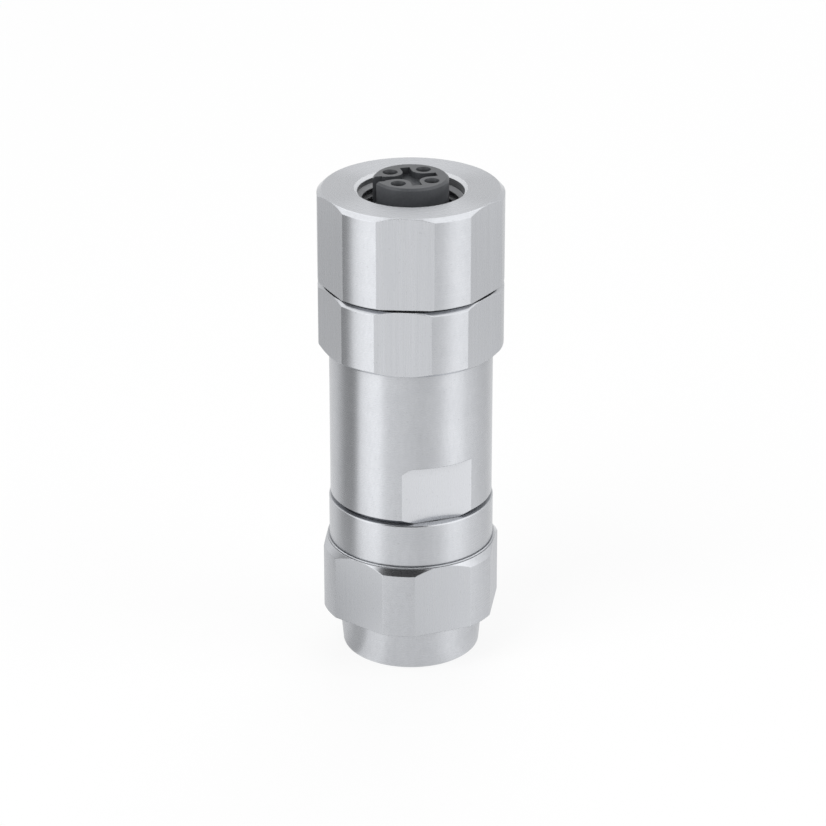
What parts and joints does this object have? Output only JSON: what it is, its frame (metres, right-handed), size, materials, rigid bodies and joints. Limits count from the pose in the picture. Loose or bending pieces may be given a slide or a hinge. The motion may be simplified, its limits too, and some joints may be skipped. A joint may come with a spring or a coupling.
{
  "type": "circular connector",
  "caption": "Straight screw-lock cable connector with a hexagon coupling nut, socket insert, hexagon collar, sleeve and cap nut for the cable.",
  "frame": {"origin": "centre of the ring that the cap nut's nose stands on", "axes": "+Z along the connector's axis, from the cable end to the socket face; -Y faces the picture's camera"},
  "size_m": [0.021, 0.0206, 0.0576],
  "materials": {
    "stainless_steel": "turned and milled, satin",
    "plated_steel": "nickel plated",
    "black_plastic": "moulded, matt",
    "natural_plastic": "moulded, matt",
    "seal_rubber": "matt",
    "contact_gold": "gold plated"
  },
  "bodies": {
    "front": {"front_collar": "stainless_steel", "collar_o_ring": "seal_rubber", "nut_retaining_ring": "plated_steel", "contact_insert": "black_plastic", "insert_carrier": "plated_steel", "insert_o_ring": "seal_rubber", "insert_lock_ring": "plated_steel", "insert_face_seal": "seal_rubber", "terminal_block": "black_plastic", "contact_1": "contact_gold", "contact_2": "contact_gold", "contact_3": "contact_gold", "contact_4": "contact_gold", "terminal_screw_1": "plated_steel", "terminal_screw_2": "plated_steel", "terminal_screw_3": "plated_steel", "terminal_screw_4": "plated_steel"},
    "nut": {"coupling_nut": "stainless_steel"},
    "seal": {"cable_seal": "seal_rubber"},
    "sleeve": {"body_sleeve": "stainless_steel", "sleeve_o_ring": "seal_rubber"},
    "clamp": {"clamping_ring": "natural_plastic", "thrust_washer": "natural_plastic"},
    "cap": {"gland_nut": "stainless_steel"}
  },
  "joints": [
    {"name": "coupling_nut_spin", "type": "hinge", "parent": "front", "child": "nut", "pos_m": [0, 0, 0.051], "axis": [0, 0, 1], "continuous": true},
    {"name": "sleeve_travel", "type": "slide", "parent": "front", "child": "seal", "axis": [0, 0, 1], "range_m": [-0.005, 0]},
    {"name": "sleeve_turn", "type": "hinge", "parent": "seal", "child": "sleeve", "pos_m": [0, 0, 0.028], "axis": [0, 0, 1], "range_deg": [-1800, 0]},
    {"name": "cap_travel", "type": "slide", "parent": "sleeve", "child": "clamp", "axis": [0, 0, 1], "range_m": [-0.008, 0]},
    {"name": "cap_turn", "type": "hinge", "parent": "clamp", "child": "cap", "pos_m": [0, 0, 0.0095], "axis": [0, 0, 1], "range_deg": [-2880, 0]}
  ],
  "couplings": [
    {"joint": "sleeve_travel", "follows": "sleeve_turn", "m_per_rad": 0.00015915},
    {"joint": "cap_travel", "follows": "cap_turn", "m_per_rad": 0.00015915}
  ]
}
